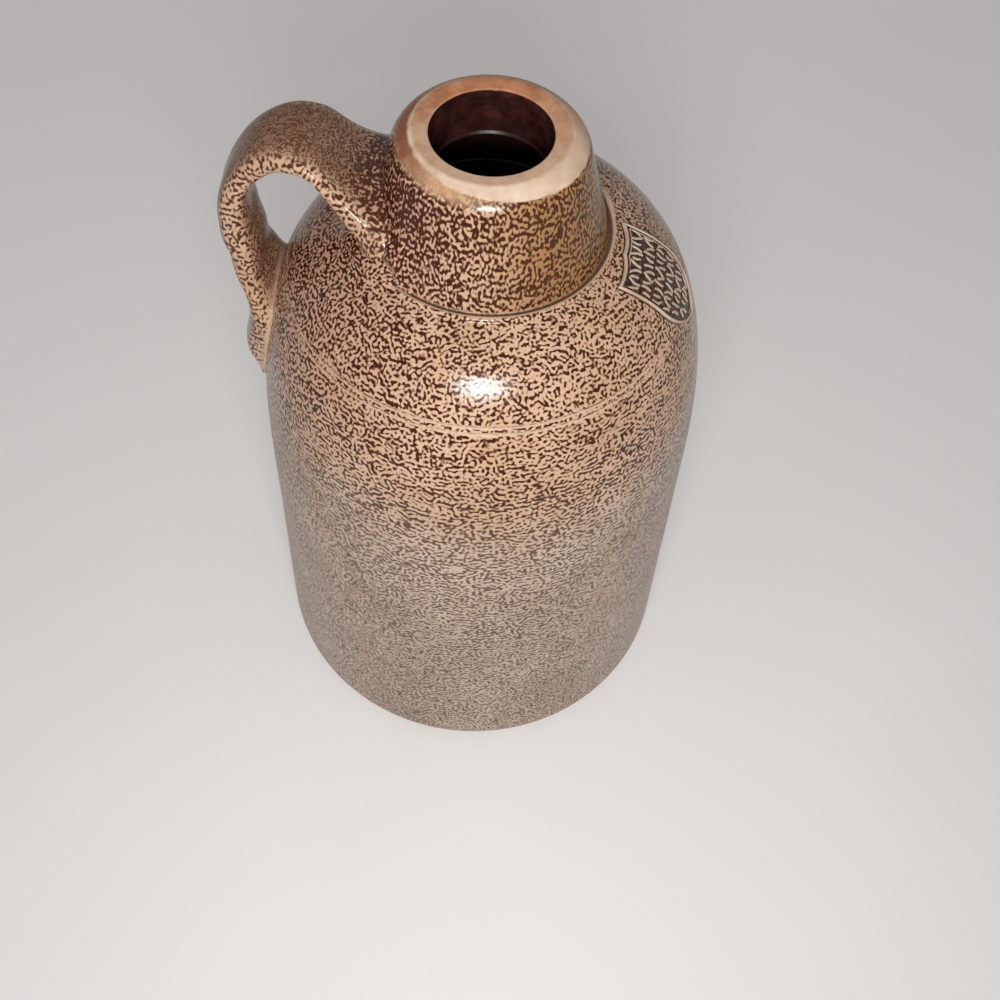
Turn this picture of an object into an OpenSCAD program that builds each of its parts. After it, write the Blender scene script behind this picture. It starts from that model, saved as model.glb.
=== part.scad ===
// Half-gallon salt-glazed stoneware jug with a pulled strap handle.
// The origin is the centre of the flat base. +Z is up through the mouth, and the handle is on the -X side.

/* [Body] */
// Widest diameter, just above the rounded foot
body_d = 144; // [132:1:160]
// Diameter where the wall starts to turn into the shoulder
body_top_d = 136; // [126:1:146]
// Height where the wall starts to turn into the shoulder
wall_h = 112; // [90:1:150]
// Radius of the rounded foot
foot_round = 9.5; // [8:0.5:20]
// Thickness of the wall
wall_t = 7; // [5:0.5:9]
// Thickness of the floor
floor_t = 9; // [7:0.5:14]
// Radius inside, where the floor turns up into the wall
inner_round = 8; // [4:0.5:14]

/* [Shoulder] */
// Height of the shoulder, from the end of the wall to the foot of the neck
shoulder_h = 84.4; // [70:0.2:100]
// How far the wall's direction carries on into the shoulder's curve
shoulder_wall_pull = 45; // [34:1:60]
// How far the slope at the neck carries on into the shoulder's curve
shoulder_top_pull = 28; // [16:1:36]
// Slope of the shoulder where it meets the neck, in degrees
shoulder_top_slope = 18.5; // [12:0.5:26]
// Width of the incised lines around the shoulder
line_w = 0.9; // [0.5:0.1:1.4]
// Depth of the incised lines around the shoulder
line_depth = 0.4; // [0.2:0.1:0.8]
// Distance between the two incised lines
line_gap = 1.9; // [1.5:0.1:4]

/* [Neck] */
// Diameter of the neck at its foot
neck_foot_d = 65; // [58:0.2:74]
// Diameter of the neck under the rounded rim
neck_top_d = 51.4; // [50:0.2:58]
// Height of the neck, from the shoulder to the top of the rim
neck_h = 30.8; // [28:0.2:40]
// Radius of the rounded outer edge of the rim
rim_round = 8; // [4:0.2:8.6]
// Diameter of the mouth
mouth_d = 31; // [26:0.5:32.5]
// Radius of the worn inner edge of the rim
mouth_round = 0.8; // [0.4:0.1:1.2]
// Fall of the rim's flat land towards the mouth
rim_dish = 0.5; // [0.2:0.1:1.2]
// Height of the straight seat for the cork, from the worn edge down to the ridge
cork_seat_h = 12; // [8:0.2:14]
// Height of the ridge inside the neck
ridge_h = 1.8; // [1.4:0.2:3]
// How far the ridge stands into the mouth
ridge_in = 0.9; // [0.4:0.1:1.6]
// Width of the bead at the foot of the neck
bead_w = 1.8; // [1.2:0.1:2.6]
// Height of the bead at the foot of the neck
bead_h = 0.9; // [0.5:0.1:1.4]
// Width of the groove between the bead and the neck
groove_w = 0.7; // [0.5:0.1:1.2]
// Depth of the groove between the bead and the neck
groove_depth = 0.8; // [0.4:0.1:1.4]

/* [Handle] */
// Height of the middle of the strap's crown above the shoulder's top
handle_rise = 24; // [21:0.2:28]
// Distance from the foot of the neck out to the middle of the strap's leg
handle_reach = 34.2; // [32:0.2:40]
// Width of the strap at the crown of the loop
strap_w = 24; // [20:0.5:30]
// Thickness of the strap at the crown of the loop
strap_t = 7.4; // [6:0.2:9]

/* [Label] */
// Width of the raised tablet on the shoulder
label_w = 22.4; // [18:0.2:26]
// Length of the raised tablet, from the neck side down the shoulder
label_l = 31.2; // [29:0.2:32.4]
// How far the point in the middle of the tablet's upper edge lies below its upper corners
label_drop = 0.4; // [0.2:0.1:1.4]
// Depth of the two scallops along the tablet's upper edge
label_scallop = 0.8; // [0.5:0.1:1.4]
// Thickness of the tablet's sunk field
label_field_t = 0.5; // [0.3:0.1:0.8]
// Thickness of the tablet's border and motifs
label_border_t = 1.1; // [1:0.1:1.6]
// Width of the tablet's border
label_border_w = 1.2; // [0.8:0.1:1.8]
// Length of each small bar in the tablet's pattern
motif_l = 3; // [2:0.1:3.4]
// Width of each small bar in the tablet's pattern
motif_w = 1.1; // [0.8:0.1:1.4]
// Angle of the tablet from straight opposite the handle, towards the front, in degrees
label_turn = 9; // [0:1:30]
// Lean of the tablet's lower end away from the front, in degrees
label_lean = 8; // [0:1:12]

/* [Hidden] */
$fn = 96;

// Counts of points along the curves
foot_steps = 14;
curve_steps = 40;
rim_steps = 12;
edge_steps = 5;
bead_steps = 8;
passage_steps = 8;

// One overrun for every cut that has to pass right through a face
overrun = 1;

// Radii and heights that the sizes above give
body_r = body_d / 2;
body_top_r = body_top_d / 2;
neck_foot_r = neck_foot_d / 2;
neck_top_r = neck_top_d / 2;
mouth_r = mouth_d / 2;
shoulder_top_z = wall_h + shoulder_h;
jug_h = shoulder_top_z + neck_h;
bead_in_r = neck_foot_r + groove_w;
shoulder_end_r = bead_in_r + bead_w;
ledge_z = shoulder_top_z - groove_depth;

// The tapered wall leans in by this angle
taper = atan((body_r - body_top_r) / (wall_h - foot_round));
wall_dir = [-sin(taper), cos(taper)];

// Control points of the shoulder's curve, from the wall to the bead at the neck
shoulder_curve = [
    [body_top_r, wall_h],
    [body_top_r, wall_h] + shoulder_wall_pull * wall_dir,
    [shoulder_end_r, shoulder_top_z]
        + shoulder_top_pull * [cos(shoulder_top_slope), -sin(shoulder_top_slope)],
    [shoulder_end_r, shoulder_top_z]
];

// Share of the curve where the upper part is luted on, at the upper incised line
seam_share = 0.655;

function bez(p, u) =
    pow(1 - u, 3) * p[0] + 3 * pow(1 - u, 2) * u * p[1] + 3 * (1 - u) * u * u * p[2] + u * u * u * p[3];
function bez_dir(p, u) =
    pow(1 - u, 2) * (p[1] - p[0]) + 2 * (1 - u) * u * (p[2] - p[1]) + u * u * (p[3] - p[2]);
function unit(v) = v / norm(v);

// Point and outward normal of the shoulder's outside, and a point at a depth or height from it
function skin(u) = bez(shoulder_curve, u);
function along(u) = unit(bez_dir(shoulder_curve, u));
function out_of(u) = [along(u).y, -along(u).x];
function off_skin(u, d) = skin(u) + d * out_of(u);

// Evenly spread values from a to b
function spread(a, b, n) = [for (i = [0:n]) a + (b - a) * i / n];

// Points of a circular arc
function arc(c, r, a, b, n) = [for (t = spread(a, b, n)) c + r * [cos(t), sin(t)]];

// Outside of the foot and the wall, up to the start of the shoulder
foot_centre = [body_r - foot_round, foot_round];
foot_out = arc(foot_centre, foot_round, -90, taper, foot_steps);

// Inside of the foot and the floor
floor_centre_z = floor_t + inner_round;
floor_reach = foot_round - wall_t - inner_round - sin(taper) * (floor_centre_z - foot_centre.y);
floor_centre = [foot_centre.x + floor_reach / cos(taper), floor_centre_z];
foot_in = arc(floor_centre, inner_round, -90, taper, foot_steps);

seam_steps = round(curve_steps * seam_share);
lower_skin = [for (u = spread(0, seam_share, seam_steps)) u];
upper_skin = [for (u = spread(seam_share, 1, curve_steps - seam_steps)) u];

function reversed(v) = [for (i = [len(v) - 1:-1:0]) v[i]];

lower_outline = concat(
    [[0, 0]],
    foot_out,
    [for (u = lower_skin) skin(u)],
    [for (u = reversed(lower_skin)) off_skin(u, -wall_t)],
    reversed(foot_in),
    [[0, floor_t]]
);

// The passage under the neck opens into the shoulder's inside in one sweep
passage_r = neck_foot_r - wall_t;
passage_curve = [
    off_skin(1, -wall_t),
    off_skin(1, -wall_t) + wall_t / 2 * along(1),
    [passage_r, ledge_z - wall_t / 2],
    [passage_r, ledge_z]
];
bead_curve = [
    [shoulder_end_r, shoulder_top_z],
    [shoulder_end_r, shoulder_top_z + bead_h * 4 / 3],
    [bead_in_r, shoulder_top_z + bead_h * 4 / 3],
    [bead_in_r, shoulder_top_z]
];

shoulder_outline = concat(
    [for (u = upper_skin) skin(u)],
    [for (u = spread(0, 1, bead_steps)) if (u > 0) bez(bead_curve, u)],
    [[bead_in_r - groove_w / 4, ledge_z], [passage_r, ledge_z]],
    [for (u = reversed(spread(0, 1, passage_steps))) if (u < 1) bez(passage_curve, u)],
    [for (u = reversed(upper_skin)) if (u < 1) off_skin(u, -wall_t)]
);

// Lean of the neck's side, which the rounded rim carries on from
neck_lean = atan((neck_foot_r - neck_top_r) / (neck_h - rim_round));
rim_centre = [neck_top_r - rim_round, jug_h - rim_round];
edge_z = jug_h - rim_dish - mouth_round;
ridge_top_z = edge_z - cork_seat_h;
ridge_z = ridge_top_z - ridge_h / 2;
ridge_foot_z = ridge_top_z - ridge_h;
throat_curve = [
    [mouth_r, ridge_foot_z],
    [mouth_r, (ridge_foot_z * 2 + ledge_z) / 3],
    [(mouth_r + passage_r * 2) / 3, (ridge_foot_z + ledge_z * 2) / 3],
    [passage_r, ledge_z]
];

neck_outline = concat(
    [[passage_r, ledge_z], [neck_foot_r, ledge_z]],
    arc(rim_centre, rim_round, neck_lean, 90, rim_steps),
    arc([mouth_r + mouth_round, edge_z], mouth_round, 90, 180, edge_steps),
    [[mouth_r, ridge_top_z], [mouth_r - ridge_in, ridge_z]],
    [for (u = spread(0, 1, passage_steps)) if (u < 1) bez(throat_curve, u)]
);

// Solid outer form of the whole jug, without its groove, that the handle is fitted to
form_outline = concat(
    [[0, 0]],
    foot_out,
    [for (u = lower_skin) skin(u)],
    [for (u = upper_skin) if (u > seam_share) skin(u)],
    [for (u = spread(0, 1, bead_steps)) if (u > 0) bez(bead_curve, u)],
    [[neck_foot_r, shoulder_top_z]],
    arc(rim_centre, rim_round, neck_lean, 90, rim_steps),
    [[0, jug_h]]
);

// A fine incised line round the shoulder, with its middle at one place on the curve
module incised_line(p, t, n) {
    rotate_extrude()
        polygon([p - line_depth * n, p + line_depth * n + line_w * t, p + line_depth * n - line_w * t]);
}

// Share of the curve that the lower incised line lies at
lower_line_share = seam_share - line_gap / norm(bez_dir(shoulder_curve, seam_share)) / 3;

module lower_body() {
    color("rosybrown")
    difference() {
        rotate_extrude() polygon(lower_outline);
        incised_line(skin(seam_share), along(seam_share), out_of(seam_share));
        incised_line(skin(lower_line_share), along(lower_line_share), out_of(lower_line_share));
    }
}

module shoulder() {
    color("peru")
    difference() {
        rotate_extrude() polygon(shoulder_outline);
        incised_line(skin(seam_share), along(seam_share), out_of(seam_share));
    }
}

module neck() {
    color("sienna")
    rotate_extrude() polygon(neck_outline);
}

// The strap's middle line. Each row holds the distance from the jug's axis, the height,
// half the strap's width and half its thickness. The upper rows follow the reach and the rise
// of the handle, and the lower rows follow the shoulder, where the strap is pressed on.
// Columns: share of the reach, share of the rise, share of the width, share of the thickness
strap_shares = [
    [-0.6, -0.06, 1.1, 2.3],
    [-0.4, 0.1, 1.38, 2.3],
    [-0.2, 0.26, 1.56, 2.05],
    [-0.01, 0.47, 1.44, 1.55],
    [0.15, 0.7, 1.26, 1],
    [0.32, 0.95, 1.12, 0.8],
    [0.52, 1, 1.01, 0.96],
    [0.7, 0.885, 0.88, 1.13],
    [0.88, 0.615, 0.82, 1.04],
    [0.99, 0.24, 0.83, 1.16],
    [1, -0.14, 0.86, 1.3]
];
// Columns: share of the shoulder's curve, share of the thickness that the middle stands out by,
// share of the width, share of the thickness
foot_shares = [
    [0.66, 1.64, 0.91, 1.24],
    [0.6, 1.14, 0.98, 1.14],
    [0.55, 0.61, 1.1, 1.11],
    [0.48, 0.17, 1.22, 1.17],
    [0.4, 0.06, 1.21, 1.26],
    [0.33, 0.08, 1.17, 1.28],
    [0.28, -0.19, 1.08, 1.24],
    [0.23, -0.73, 0.9, 1.15],
    [0.16, -1.34, 0.42, 1.11]
];

strap_keys = concat(
    [for (s = strap_shares) [
        neck_foot_r + s[0] * handle_reach,
        shoulder_top_z + s[1] * handle_rise,
        s[2] * strap_w / 2,
        s[3] * strap_t / 2
    ]],
    [for (s = foot_shares) [
        off_skin(s[0], s[1] * strap_t).x,
        off_skin(s[0], s[1] * strap_t).y,
        s[2] * strap_w / 2,
        s[3] * strap_t / 2
    ]]
);

// Smooth curve through the keys, with a few rings for each span
span_steps = 5;
function through(a, b, c, d, t) =
    (2 * b + (c - a) * t + (2 * a - 5 * b + 4 * c - d) * t * t + (3 * b - a - 3 * c + d) * t * t * t) / 2;
strap_rings = concat(
    [for (i = [1:len(strap_keys) - 3]) for (j = [0:span_steps - 1])
        through(strap_keys[i - 1], strap_keys[i], strap_keys[i + 1], strap_keys[i + 2], j / span_steps)],
    [strap_keys[len(strap_keys) - 2]]
);

// The strap's section is a flat oval, squarer than an ellipse
section_steps = 24;
section_power = 2.7;
function squash(v) = sign(v) * pow(abs(v), 2 / section_power);
section = [for (i = [0:section_steps - 1]) [
    squash(cos(360 * i / section_steps)),
    squash(sin(360 * i / section_steps))
]];

function ring_dir(i) =
    unit([
        strap_rings[min(i + 1, len(strap_rings) - 1)].x - strap_rings[max(i - 1, 0)].x,
        strap_rings[min(i + 1, len(strap_rings) - 1)].y - strap_rings[max(i - 1, 0)].y
    ]);
function ring_point(i, s) =
    let (r = strap_rings[i], d = ring_dir(i))
    [-(r[0] - s.y * r[3] * d.y), s.x * r[2], r[1] + s.y * r[3] * d.x];

// A closed skin over the rings, with a flat cap at each end
module strap_loft() {
    n = section_steps;
    m = len(strap_rings);
    points = [for (i = [0:m - 1]) for (s = section) ring_point(i, s)];
    sides = [for (i = [0:m - 2]) for (j = [0:n - 1]) for (half = [0, 1])
        half == 0
            ? [i * n + j, (i + 1) * n + (j + 1) % n, i * n + (j + 1) % n]
            : [i * n + j, (i + 1) * n + j, (i + 1) * n + (j + 1) % n]];
    first_cap = [[for (j = [0:n - 1]) j]];
    last_cap = [[for (j = [n - 1:-1:0]) (m - 1) * n + j]];
    polyhedron(points = points, faces = concat(sides, first_cap, last_cap));
}

module handle() {
    color("saddlebrown")
    difference() {
        strap_loft();
        rotate_extrude() polygon(form_outline);
    }
}

// The tablet lies on the shoulder: the share of the curve under its middle, and its reach both ways
label_mid_share = 0.782;
label_low_share = 0.5;
label_skin = spread(label_low_share, 1, curve_steps / 2);
motif_rows = 5;
motif_columns = 8;

// A layer over the shoulder between two heights above its surface
module shoulder_layer(from, to) {
    rotate_extrude()
        polygon(concat(
            [for (u = label_skin) off_skin(u, to)],
            [for (u = reversed(label_skin)) off_skin(u, from)]
        ));
}

// Places a flat shape over the tablet's middle, with its length running down the shoulder
module over_label() {
    mid = skin(label_mid_share);
    slope = atan2(out_of(label_mid_share).x, out_of(label_mid_share).y);
    rotate([0, 0, -label_turn])
    translate([mid.x, 0, mid.y])
    rotate([0, slope, 0])
    rotate([0, 0, label_lean])
    translate([0, 0, -label_l / 2])
    linear_extrude(height = label_l)
        children();
}

// Circles that cut the two scallops into the upper edge
scallop_chord = norm([label_drop, label_w / 2]);
scallop_r = (pow(scallop_chord / 2, 2) + pow(label_scallop, 2)) / label_scallop / 2;
scallop_mid = [-label_l / 2, 0] + [label_drop, label_w / 2] / 2;
scallop_centre = scallop_mid - (scallop_r - label_scallop) * [label_w / 2, label_drop] / scallop_chord;

// Radius of the two arcs that close the tablet in a point below
ogive_r = (pow(label_l / 2, 2) + pow(label_w / 2, 2)) / label_w;

// Tablet outline: scalloped towards the neck, straight at the sides and pointed below
module tablet_outline(inset) {
    difference() {
        union() {
            translate([-label_l / 2, inset - label_w / 2]) square([label_l / 2, label_w - 2 * inset]);
            intersection() {
                translate([0, ogive_r - label_w / 2]) circle(r = ogive_r - inset);
                translate([0, label_w / 2 - ogive_r]) circle(r = ogive_r - inset);
            }
        }
        translate(scallop_centre) circle(r = scallop_r + inset);
        translate([scallop_centre.x, -scallop_centre.y]) circle(r = scallop_r + inset);
    }
}

// Plain short bars in rows across the tablet's field, wherever a whole bar has room
function has_room(p) =
    norm([max(p.x, 0) + motif_l / 2, abs(p.y) + motif_w / 2 + ogive_r - label_w / 2]) < ogive_r - 2 * label_border_w;

module bars() {
    pitch_y = (label_w - 2 * label_border_w) / motif_columns;
    pitch_x = (label_l - label_drop - 2 * label_border_w) / motif_rows;
    for (i = [0:motif_rows - 1]) for (j = [0:motif_columns - 1]) {
        place = [
            label_drop + label_border_w - label_l / 2 + pitch_x * (i + 1 / 2),
            label_border_w - label_w / 2 + pitch_y * (j + 1 / 2)
        ];
        if (has_room(place)) translate(place) square([motif_l, motif_w], center = true);
    }
}

module label_pad() {
    color("tan")
    difference() {
        intersection() {
            over_label() tablet_outline(0);
            shoulder_layer(0, label_border_t);
        }
        intersection() {
            over_label()
                difference() {
                    tablet_outline(label_border_w);
                    bars();
                }
            shoulder_layer(label_field_t, label_border_t + overrun);
        }
    }
}

lower_body();
shoulder();
neck();
handle();
label_pad();
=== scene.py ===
"""Salt-glazed stoneware jug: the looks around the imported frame.

Sizes are millimetres, as in the CAD source, up to the point where a mesh is made. Materials, lamp
and camera are in metres. The handle points to -X and the photo was taken from -Y.
"""

import bpy
import math
import numpy as np
from mathutils import Matrix, Vector
from mathutils.bvhtree import BVHTree


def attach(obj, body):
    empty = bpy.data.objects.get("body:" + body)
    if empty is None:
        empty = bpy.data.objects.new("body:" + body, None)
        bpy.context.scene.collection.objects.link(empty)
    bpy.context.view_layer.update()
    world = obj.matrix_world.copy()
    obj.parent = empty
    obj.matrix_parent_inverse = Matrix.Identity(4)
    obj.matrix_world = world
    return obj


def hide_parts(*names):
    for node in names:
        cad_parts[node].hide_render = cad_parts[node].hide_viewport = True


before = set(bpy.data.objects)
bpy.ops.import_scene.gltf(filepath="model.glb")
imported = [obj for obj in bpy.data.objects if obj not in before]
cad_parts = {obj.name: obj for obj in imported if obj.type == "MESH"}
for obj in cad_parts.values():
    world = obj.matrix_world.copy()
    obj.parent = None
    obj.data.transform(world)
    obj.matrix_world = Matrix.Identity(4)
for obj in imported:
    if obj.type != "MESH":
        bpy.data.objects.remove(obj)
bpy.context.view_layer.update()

MM = 0.001

# Sizes, as in the CAD source
BODY_R, BODY_TOP_R, WALL_H, FOOT_ROUND = 72.0, 68.0, 112.0, 9.5
WALL_T, FLOOR_T, INNER_ROUND = 7.0, 9.0, 8.0
SHOULDER_TOP_Z = 196.4
NECK_FOOT_R, NECK_TOP_R, JUG_H, RIM_ROUND = 32.5, 25.7, 227.2, 8.0
MOUTH_R, MOUTH_ROUND, RIM_DISH, CORK_SEAT = 15.5, 0.8, 0.5, 12.0
RIDGE_H, RIDGE_IN = 1.8, 0.9
BEAD_W, BEAD_H, GROOVE_W, GROOVE_DEPTH = 1.8, 0.9, 0.7, 0.8
SEAM, LINE_GAP, LINE_DEPTH = 0.655, 1.9, 0.4
SLOPE = math.radians(18.5)
TAPER = math.atan((BODY_R - BODY_TOP_R) / (WALL_H - FOOT_ROUND))
LOW_PULL, TOP_PULL = 45, 28
BEAD_IN_R = NECK_FOOT_R + GROOVE_W
SHOULDER_END_R = BEAD_IN_R + BEAD_W
LEDGE_Z = SHOULDER_TOP_Z - GROOVE_DEPTH
PASSAGE_R = NECK_FOOT_R - WALL_T
EDGE_Z = JUG_H - RIM_DISH - MOUTH_ROUND
RIDGE_TOP = EDGE_Z - CORK_SEAT
RIDGE_FOOT = RIDGE_TOP - RIDGE_H
LEAN = math.degrees(math.atan((NECK_FOOT_R - NECK_TOP_R) / (JUG_H - SHOULDER_TOP_Z - RIM_ROUND)))
RIM_END = 78.5

# What the scene adds to them
SEGMENTS = 360
LINE_HALF = 0.26
MENISCUS = 0.12
RIDGE_SOFT = 0.6
RING_PITCH, RING_DEPTH, STRONG_RING_DEPTH = 1.3, 0.022, 0.05
WAVE_PITCH, WAVE_DEPTH = 26, 0.12

# The shoulder's outside, from the wall's top to the bead
CURVE = np.array([
    (BODY_TOP_R, WALL_H),
    (BODY_TOP_R - LOW_PULL * math.sin(TAPER), WALL_H + LOW_PULL * math.cos(TAPER)),
    (SHOULDER_END_R + TOP_PULL * math.cos(SLOPE), SHOULDER_TOP_Z - TOP_PULL * math.sin(SLOPE)),
    (SHOULDER_END_R, SHOULDER_TOP_Z)])


def bez(p, u):
    """Points of the cubic Bezier curve p at the shares u."""
    u = np.asarray(u, float)[..., None]
    v = 1 - u
    return v ** 3 * p[0] + 3 * v ** 2 * u * p[1] + 3 * v * u * u * p[2] + u ** 3 * p[3]


def bez_dir(p, u):
    """Direction of the curve p, a third of its derivative."""
    u = np.asarray(u, float)[..., None]
    v = 1 - u
    return v ** 2 * (p[1] - p[0]) + 2 * v * u * (p[2] - p[1]) + u * u * (p[3] - p[2])


def unit(v):
    return v / np.linalg.norm(v, axis=-1, keepdims=True)


def off_skin(u, d):
    """Points at a distance d outside the shoulder's curve."""
    t = unit(bez_dir(CURVE, u))
    return bez(CURVE, u) + np.asarray(d, float)[..., None] * np.stack([t[..., 1], -t[..., 0]], -1)


def arc(centre, r, start, stop, steps):
    """Points of a circle between two angles in degrees."""
    t = np.radians(np.linspace(start, stop, steps + 1))
    return np.stack([centre[0] + r * np.cos(t), centre[1] + r * np.sin(t)], -1)


def smooth_step(x, a, b):
    """0 below a, 1 above b and smooth between."""
    t = np.clip((x - a) / (b - a), 0, 1)
    return t * t * (3 - 2 * t)


def fade(x, a, b):
    """1 below a, 0 above b and smooth between."""
    return 1 - smooth_step(x, a, b)


def hill(x, centre, width):
    return np.exp(-((x - centre) / width) ** 2)


PRIMES, SEED_PRIME = np.array([73856093, 19349663, 83492791]), 2654435761
MIXERS = ((15, 2246822519), (13, 3266489917))
WORD, HALF_WORD = 0xFFFFFFFF, 0xFFFF


def value_noise(p, seed):
    """Smooth noise of points p (n, 3), from -1 to 1, with one cell per unit."""
    i = np.floor(p).astype(np.int64)
    f = p - i
    f = f * f * (3 - 2 * f)
    out = np.zeros(len(p))
    for k in range(8):
        corner = np.array([k & 1, k >> 1 & 1, k >> 2 & 1])
        h = (np.bitwise_xor.reduce((i + corner) * PRIMES, axis=1) ^ seed * SEED_PRIME) & WORD
        for shift, factor in MIXERS:
            h = (h ^ h >> shift) * factor & WORD
        value = ((h ^ h >> 16) & HALF_WORD) / (HALF_WORD / 2) - 1
        out += np.where(corner, f, 1 - f).prod(1) * value
    return out


def quads(ids):
    """Faces of a grid of vertex numbers."""
    corners = (ids[:-1, :-1], ids[:-1, 1:], ids[1:, 1:], ids[1:, :-1])
    return np.stack(corners, -1).reshape(-1, 4).tolist()


def add_mesh(name, verts_mm, faces, attributes, node, material):
    mesh = bpy.data.meshes.new(name)
    mesh.from_pydata((np.asarray(verts_mm) * MM).tolist(), [], faces)
    mesh.update()
    for key, values in attributes.items():
        values = np.asarray(values, np.float32)
        kind, field = ("FLOAT", "value") if values.ndim == 1 else ("FLOAT_VECTOR", "vector")
        mesh.attributes.new(key, kind, "POINT").data.foreach_set(field, values.ravel())
    mesh.shade_smooth()
    mesh.materials.append(material)
    piece = bpy.data.objects.new(name, mesh)
    bpy.context.scene.collection.objects.link(piece)
    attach(piece, "root")
    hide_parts(node)


def turning(v):
    """Fine throwing rings and a slight unevenness of the hand, always inwards."""
    r = np.maximum(np.hypot(v[:, 0], v[:, 1]), 1e-9)
    u = v / r[:, None]
    z = v[:, 2]
    ring = value_noise(np.stack([u[:, 0] * 1.2, u[:, 1] * 1.2, z / RING_PITCH], -1), 3)
    wave = value_noise(np.stack([u[:, 0] * 1.5, u[:, 1] * 1.5, z / WAVE_PITCH], -1), 5)
    under_lines = smooth_step(z, 120, 150) * fade(z, 176.5, 178.5)
    ring_depth = RING_DEPTH + STRONG_RING_DEPTH * under_lines
    amount = ring_depth * (ring - 1) + WAVE_DEPTH * (wave - 1)
    # Neither on the neck and the bead, nor on the foot that it stands on
    amount = amount * (r > 40) * smooth_step(z, 1, 12)
    out = v.copy()
    out[:, :2] += u[:, :2] * amount[:, None]
    return out


def revolve(points):
    """Closed skin of a profile of (r, z) turned about Z: vertices, faces and each vertex's point.

    A first or last point on the axis closes it.
    """
    a = np.linspace(0, 2 * math.pi, SEGMENTS, endpoint=False)
    verts, rings = [], []
    for r, z in points:
        start = len(verts)
        if r < 1e-6:
            verts.append((0, 0, z))
        else:
            verts.extend(zip(r * np.cos(a), r * np.sin(a), np.full(SEGMENTS, z)))
        rings.append(range(start, len(verts)))
    pairs = list(zip(rings[:-1], rings[1:]))
    if len(rings[0]) > 1:
        pairs.append((rings[-1], rings[0]))
    faces = []
    for p, q in pairs:
        for i in range(SEGMENTS):
            j = (i + 1) % SEGMENTS
            if len(p) == 1:
                faces.append((p[0], q[j], q[i]))
            elif len(q) == 1:
                faces.append((p[i], p[j], q[0]))
            else:
                faces.append((p[i], p[j], q[j], q[i]))
    point_of = np.repeat(np.arange(len(points)), [len(ring) for ring in rings])
    return turning(np.array(verts, float)), faces, point_of


# The two incised lines, as shares of the shoulder's curve
SPEED = 3 * np.linalg.norm(bez_dir(CURVE, SEAM))
LINES = (SEAM, SEAM - LINE_GAP / SPEED)


def from_line(points):
    """Distance of profile points from the nearer incised line."""
    return np.min([np.linalg.norm(points - bez(CURVE, u), axis=-1) for u in LINES], axis=0)


def with_lines(start, stop, count):
    """Points of the shoulder's outside, dense at the two incised lines."""
    near = [c + np.arange(-12, 13) * 0.07 / SPEED for c in LINES]
    near = [e[(e > start) & (e < stop)] for e in near]
    u = np.unique(np.concatenate([np.linspace(start, stop, count)] + near))
    return off_skin(u, -LINE_DEPTH * hill(from_line(bez(CURVE, u)), 0, LINE_HALF))


# Lower body: up the outside, down the inside
foot_centre = (BODY_R - FOOT_ROUND, FOOT_ROUND)
foot = arc(foot_centre, FOOT_ROUND, -90, math.degrees(TAPER), 24)
inner_foot_z = FLOOR_T + INNER_ROUND
reach = FOOT_ROUND - WALL_T - INNER_ROUND - math.sin(TAPER) * (inner_foot_z - FOOT_ROUND)
inner_foot_centre = (foot_centre[0] + reach / math.cos(TAPER), inner_foot_z)
lower_out = [[(0, 0)], foot, np.linspace(foot[-1], CURVE[0], 60)[1:-1], with_lines(0, SEAM, 100)]
lower_in = [off_skin(np.linspace(SEAM, 0, 24), -WALL_T),
            arc(inner_foot_centre, INNER_ROUND, -90, math.degrees(TAPER), 12)[::-1], [(0, FLOOR_T)]]

# Shoulder: up the outside, over the bead, across the glaze that fills the groove, down the inside
bead_top = SHOULDER_TOP_Z + BEAD_H * 4 / 3
bead = np.array([(SHOULDER_END_R, SHOULDER_TOP_Z), (SHOULDER_END_R, bead_top),
                 (BEAD_IN_R, bead_top), (BEAD_IN_R, SHOULDER_TOP_Z)])
filled_groove = [
    (BEAD_IN_R - 0.25, SHOULDER_TOP_Z + MENISCUS), (NECK_FOOT_R - 0.05, SHOULDER_TOP_Z + MENISCUS),
    (NECK_FOOT_R - 1, SHOULDER_TOP_Z - 0.3), (NECK_FOOT_R - 1.2, LEDGE_Z), (PASSAGE_R, LEDGE_Z)]
inner_end = off_skin(1.0, -WALL_T)
passage = np.array([inner_end, inner_end + WALL_T / 2 * unit(bez_dir(CURVE, 1.0)),
                    (PASSAGE_R, LEDGE_Z - WALL_T / 2), (PASSAGE_R, LEDGE_Z)])
shoulder_out = [with_lines(SEAM, 1, 70), bez(bead, np.linspace(0, 1, 17))[1:], filled_groove]
shoulder_in = [bez(passage, np.linspace(1, 0, 9))[1:],
               off_skin(np.linspace(1, SEAM, 16), -WALL_T)[1:]]

# Neck: up the outside, over the rim, down the cork seat, past the ridge, down the throat
rim_arc = arc((NECK_TOP_R - RIM_ROUND, JUG_H - RIM_ROUND), RIM_ROUND, LEAN, RIM_END, 40)
mouth_edge = (MOUTH_R + MOUTH_ROUND, JUG_H - RIM_DISH)
mouth_arc = arc((MOUTH_R + MOUTH_ROUND, EDGE_Z), MOUTH_ROUND, 90, 180, 10)
ridge_share = np.linspace(0, 1, 13)
ridge = np.stack([MOUTH_R - RIDGE_SOFT * RIDGE_IN * np.abs(np.sin(math.pi * ridge_share)) ** 1.5,
                  RIDGE_TOP - RIDGE_H * ridge_share], -1)
throat = np.array([
    (MOUTH_R, RIDGE_FOOT), (MOUTH_R, (2 * RIDGE_FOOT + LEDGE_Z) / 3),
    ((MOUTH_R + 2 * PASSAGE_R) / 3, (RIDGE_FOOT + 2 * LEDGE_Z) / 3), (PASSAGE_R, LEDGE_Z)])
neck_out = [[(PASSAGE_R, LEDGE_Z)], np.linspace((NECK_FOOT_R, LEDGE_Z), rim_arc[0], 50)[:-1],
            rim_arc, np.linspace(rim_arc[-1], mouth_edge, 10)[1:-1], mouth_arc[:7]]
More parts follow.
